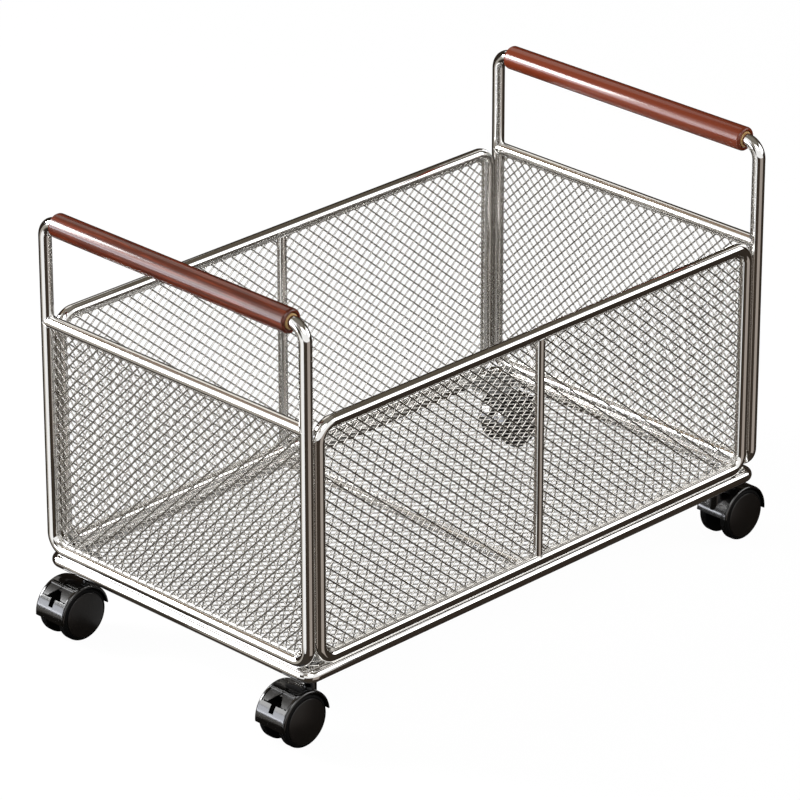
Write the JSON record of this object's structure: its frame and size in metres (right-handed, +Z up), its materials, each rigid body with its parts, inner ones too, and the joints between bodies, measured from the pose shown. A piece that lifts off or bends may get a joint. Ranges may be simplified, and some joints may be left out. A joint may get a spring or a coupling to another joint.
{
  "type": "rolling storage cart",
  "caption": "Wire-mesh storage basket in a polished round-tube frame with wooden sleeve grips on raised end bars, on twin-wheel swivel casters with brake levers at one end.",
  "frame": {"origin": "on the floor under the middle of the cart, at the bottom centre of its box", "axes": "+X along the length, towards the end whose casters have no brake; +Y across the width; +Z up"},
  "size_m": [0.5004, 0.2694, 0.327],
  "materials": {
    "polished_steel": "polished stainless tube",
    "steel_mesh": "woven stainless wire",
    "plated_steel": "zinc plated",
    "lacquered_wood": "stained and lacquered",
    "caster_gloss_black": "gloss moulded",
    "caster_satin_black": "satin moulded"
  },
  "bodies": {
    "cart": {"base_ring": "polished_steel", "floor_crossbar": "polished_steel", "end_frame_left": "polished_steel", "end_frame_right": "polished_steel", "end_rail_left": "polished_steel", "end_rail_right": "polished_steel", "side_frame_near": "polished_steel", "side_frame_far": "polished_steel", "side_post_near": "polished_steel", "side_post_far": "polished_steel", "floor_mesh_left": "steel_mesh", "floor_mesh_right": "steel_mesh", "end_mesh_left": "steel_mesh", "end_mesh_right": "steel_mesh", "side_mesh_near_left": "steel_mesh", "side_mesh_near_right": "steel_mesh", "side_mesh_far_left": "steel_mesh", "side_mesh_far_right": "steel_mesh", "corner_plate_left_near": "plated_steel", "corner_plate_left_far": "plated_steel", "corner_plate_right_near": "plated_steel", "corner_plate_right_far": "plated_steel", "weld_nuts": "plated_steel", "caster_stem_left_near": "plated_steel", "caster_stem_left_far": "plated_steel", "caster_stem_right_near": "plated_steel", "caster_stem_right_far": "plated_steel"},
    "grip_left": {"grip_left": "lacquered_wood"},
    "grip_right": {"grip_right": "lacquered_wood"},
    "caster_left_near": {"caster_hood_left_near": "caster_gloss_black", "caster_axle_left_near": "plated_steel", "brake_pin_left_near": "plated_steel"},
    "wheel_left_near_outer": {"wheel_left_near_outer": "caster_satin_black"},
    "wheel_left_near_inner": {"wheel_left_near_inner": "caster_satin_black"},
    "brake_lever_left_near": {"brake_lever_left_near": "caster_gloss_black"},
    "caster_left_far": {"caster_hood_left_far": "caster_gloss_black", "caster_axle_left_far": "plated_steel", "brake_pin_left_far": "plated_steel"},
    "wheel_left_far_outer": {"wheel_left_far_outer": "caster_satin_black"},
    "wheel_left_far_inner": {"wheel_left_far_inner": "caster_satin_black"},
    "brake_lever_left_far": {"brake_lever_left_far": "caster_gloss_black"},
    "caster_right_near": {"caster_hood_right_near": "caster_gloss_black", "caster_axle_right_near": "plated_steel"},
    "wheel_right_near_outer": {"wheel_right_near_outer": "caster_satin_black"},
    "wheel_right_near_inner": {"wheel_right_near_inner": "caster_satin_black"},
    "caster_right_far": {"caster_hood_right_far": "caster_gloss_black", "caster_axle_right_far": "plated_steel"},
    "wheel_right_far_outer": {"wheel_right_far_outer": "caster_satin_black"},
    "wheel_right_far_inner": {"wheel_right_far_inner": "caster_satin_black"}
  },
  "joints": [
    {"name": "grip_left_turn", "type": "hinge", "parent": "cart", "child": "grip_left", "pos_m": [-0.228, 0, 0.31795], "axis": [0, 1, 0], "continuous": true},
    {"name": "grip_right_turn", "type": "hinge", "parent": "cart", "child": "grip_right", "pos_m": [0.228, 0, 0.31795], "axis": [0, 1, 0], "continuous": true},
    {"name": "swivel_left_near", "type": "hinge", "parent": "cart", "child": "caster_left_near", "pos_m": [-0.21, -0.1135, 0.04], "axis": [0, 0, 1], "continuous": true},
    {"name": "spin_left_near_outer", "type": "hinge", "parent": "caster_left_near", "child": "wheel_left_near_outer", "pos_m": [-0.2275, -0.1135, 0.02], "axis": [0, 1, 0], "continuous": true},
    {"name": "spin_left_near_inner", "type": "hinge", "parent": "caster_left_near", "child": "wheel_left_near_inner", "pos_m": [-0.2275, -0.1135, 0.02], "axis": [0, 1, 0], "continuous": true},
    {"name": "brake_left_near", "type": "hinge", "parent": "caster_left_near", "child": "brake_lever_left_near", "pos_m": [-0.23466, -0.1135, 0.03728], "axis": [0, 1, 0], "range_deg": [0, 10]},
    {"name": "swivel_left_far", "type": "hinge", "parent": "cart", "child": "caster_left_far", "pos_m": [-0.21, 0.1135, 0.04], "axis": [0, 0, 1], "continuous": true},
    {"name": "spin_left_far_outer", "type": "hinge", "parent": "caster_left_far", "child": "wheel_left_far_outer", "pos_m": [-0.2275, 0.1135, 0.02], "axis": [0, 1, 0], "continuous": true},
    {"name": "spin_left_far_inner", "type": "hinge", "parent": "caster_left_far", "child": "wheel_left_far_inner", "pos_m": [-0.2275, 0.1135, 0.02], "axis": [0, 1, 0], "continuous": true},
    {"name": "brake_left_far", "type": "hinge", "parent": "caster_left_far", "child": "brake_lever_left_far", "pos_m": [-0.23466, 0.1135, 0.03728], "axis": [0, 1, 0], "range_deg": [0, 10]},
    {"name": "swivel_right_near", "type": "hinge", "parent": "cart", "child": "caster_right_near", "pos_m": [0.21, -0.1135, 0.04], "axis": [0, 0, 1], "continuous": true},
    {"name": "spin_right_near_outer", "type": "hinge", "parent": "caster_right_near", "child": "wheel_right_near_outer", "pos_m": [0.2275, -0.1135, 0.02], "axis": [0, 1, 0], "continuous": true},
    {"name": "spin_right_near_inner", "type": "hinge", "parent": "caster_right_near", "child": "wheel_right_near_inner", "pos_m": [0.2275, -0.1135, 0.02], "axis": [0, 1, 0], "continuous": true},
    {"name": "swivel_right_far", "type": "hinge", "parent": "cart", "child": "caster_right_far", "pos_m": [0.21, 0.1135, 0.04], "axis": [0, 0, 1], "continuous": true},
    {"name": "spin_right_far_outer", "type": "hinge", "parent": "caster_right_far", "child": "wheel_right_far_outer", "pos_m": [0.2275, 0.1135, 0.02], "axis": [0, 1, 0], "continuous": true},
    {"name": "spin_right_far_inner", "type": "hinge", "parent": "caster_right_far", "child": "wheel_right_far_inner", "pos_m": [0.2275, 0.1135, 0.02], "axis": [0, 1, 0], "continuous": true}
  ]
}
